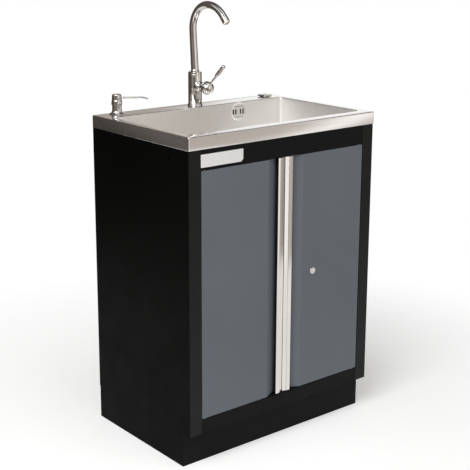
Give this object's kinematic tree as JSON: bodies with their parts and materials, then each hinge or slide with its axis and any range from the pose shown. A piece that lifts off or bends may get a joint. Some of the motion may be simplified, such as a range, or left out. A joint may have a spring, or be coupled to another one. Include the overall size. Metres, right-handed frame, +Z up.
{
  "type": "sink base cabinet",
  "caption": "Sheet steel base cabinet with hinged doors and a stainless basin top, with a lever mixer tap, a soap dispenser, a knob for the pop-up waste and a drain trap.",
  "frame": {"origin": "bottom centre of the bounding box, on the floor under the plinth", "axes": "+Z up, +X to the right seen from the front, doors face -Y"},
  "size_m": [0.683, 0.4606, 1.2523],
  "materials": {
    "black_paint": "satin powder coat",
    "frame_paint": "satin powder coat",
    "door_paint": "satin grey powder coat",
    "white_plate": "smooth white",
    "stainless": "satin stainless steel",
    "chrome": "polished",
    "aluminium": "satin anodised",
    "zinc": "zinc plated",
    "brass": "plain brass",
    "white_plastic": "plain",
    "dark_plastic": "plain",
    "bottle_plastic": "translucent"
  },
  "bodies": {
    "cabinet": {"side_panel_left": "black_paint", "side_panel_right": "black_paint", "back_panel": "black_paint", "bottom_panel": "black_paint", "top_rail": "frame_paint", "bottom_rail": "frame_paint", "plinth_front": "frame_paint", "plinth_rear": "black_paint", "plinth_sides": "black_paint", "plinth_brackets": "zinc", "levelling_feet": "dark_plastic", "hinge_pins": "zinc", "magnet_catches": "dark_plastic", "blank_nameplate": "white_plate", "sink_deck": "stainless", "sink_basin": "stainless", "overflow_housing": "dark_plastic", "overflow_pipe": "white_plastic", "waste_flange": "stainless", "waste_body": "white_plastic", "waste_nut": "white_plastic", "trap_body": "white_plastic", "trap_cup": "white_plastic", "outlet_pipe": "white_plastic", "knob_gearbox": "dark_plastic", "tap_base_ring": "chrome", "tap_body": "chrome", "tap_shank": "brass", "tap_nut": "brass", "tap_inlets": "brass", "dispenser_flange": "chrome", "dispenser_nut": "dark_plastic", "soap_bottle": "bottle_plastic", "pump_cylinder": "white_plastic", "pump_spring": "zinc"},
    "left_door": {"left_door_skin": "door_paint", "left_door_inner": "door_paint", "left_door_grip": "aluminium", "left_door_bushes": "white_plastic"},
    "right_door": {"right_door_skin": "door_paint", "right_door_inner": "door_paint", "right_door_grip": "aluminium", "right_door_bushes": "white_plastic", "lock_housing": "chrome"},
    "lock": {"lock_core": "chrome", "lock_pinion": "zinc"},
    "upper_rod": {"upper_lock_rod": "zinc"},
    "lower_rod": {"lower_lock_rod": "zinc"},
    "plug": {"waste_plug": "stainless"},
    "knob": {"waste_knob": "chrome"},
    "mixer": {"mixer_spindle": "chrome"},
    "lever": {"lever_dome": "chrome", "lever_rod": "chrome", "lever_grip": "chrome"},
    "spout": {"spout_tube": "chrome", "aerator": "chrome"},
    "pump": {"pump_stem": "white_plastic"},
    "pump_top": {"pump_head": "chrome", "pump_nozzle": "chrome"}
  },
  "joints": [
    {"name": "left_door_hinge", "type": "hinge", "parent": "cabinet", "child": "left_door", "pos_m": [-0.2858, -0.22175, 0.493], "axis": [0, 0, -1], "range_deg": [0, 110]},
    {"name": "right_door_hinge", "type": "hinge", "parent": "cabinet", "child": "right_door", "pos_m": [0.2858, -0.22175, 0.493], "axis": [0, 0, 1], "range_deg": [0, 110]},
    {"name": "lock_turn", "type": "hinge", "parent": "right_door", "child": "lock", "pos_m": [0.1079, -0.22775, 0.493], "axis": [0, -1, 0], "range_deg": [0, 90]},
    {"name": "upper_rod_slide", "type": "slide", "parent": "right_door", "child": "upper_rod", "axis": [0, 0, 1], "range_m": [0, 0.01256]},
    {"name": "lower_rod_slide", "type": "slide", "parent": "right_door", "child": "lower_rod", "axis": [0, 0, -1], "range_m": [0, 0.01256]},
    {"name": "waste_knob_turn", "type": "hinge", "parent": "cabinet", "child": "knob", "pos_m": [0.2885, 0.19925, 0.94], "axis": [0, 0, 1], "range_deg": [0, 90]},
    {"name": "plug_lift", "type": "slide", "parent": "cabinet", "child": "plug", "axis": [0, 0, 1], "range_m": [0, 0.008]},
    {"name": "spout_swivel", "type": "hinge", "parent": "cabinet", "child": "spout", "pos_m": [0, 0.18925, 1.02], "axis": [0, 0, 1], "continuous": true},
    {"name": "mixer_turn", "type": "hinge", "parent": "cabinet", "child": "mixer", "pos_m": [0, 0.12925, 0.996], "axis": [0, -1, 0], "range_deg": [-45, 45]},
    {"name": "mixer_lever", "type": "hinge", "parent": "mixer", "child": "lever", "pos_m": [0, 0.12925, 0.996], "axis": [-1, 0, 0], "range_deg": [0, 25]},
    {"name": "pump_press", "type": "slide", "parent": "cabinet", "child": "pump", "axis": [0, 0, -1], "range_m": [0, 0.012], "stiffness_N_per_m": 400, "springref_m": -0.01, "deforming": ["pump_spring"]},
    {"name": "pump_swivel", "type": "hinge", "parent": "pump", "child": "pump_top", "pos_m": [-0.275, 0.20125, 0.98], "axis": [0, 0, 1], "continuous": true}
  ],
  "couplings": [
    {"joint": "lock_turn", "follows": "upper_rod_slide", "rad_per_m": 125},
    {"joint": "lower_rod_slide", "follows": "upper_rod_slide", "ratio": 1},
    {"joint": "waste_knob_turn", "follows": "plug_lift", "rad_per_m": 196.35}
  ]
}
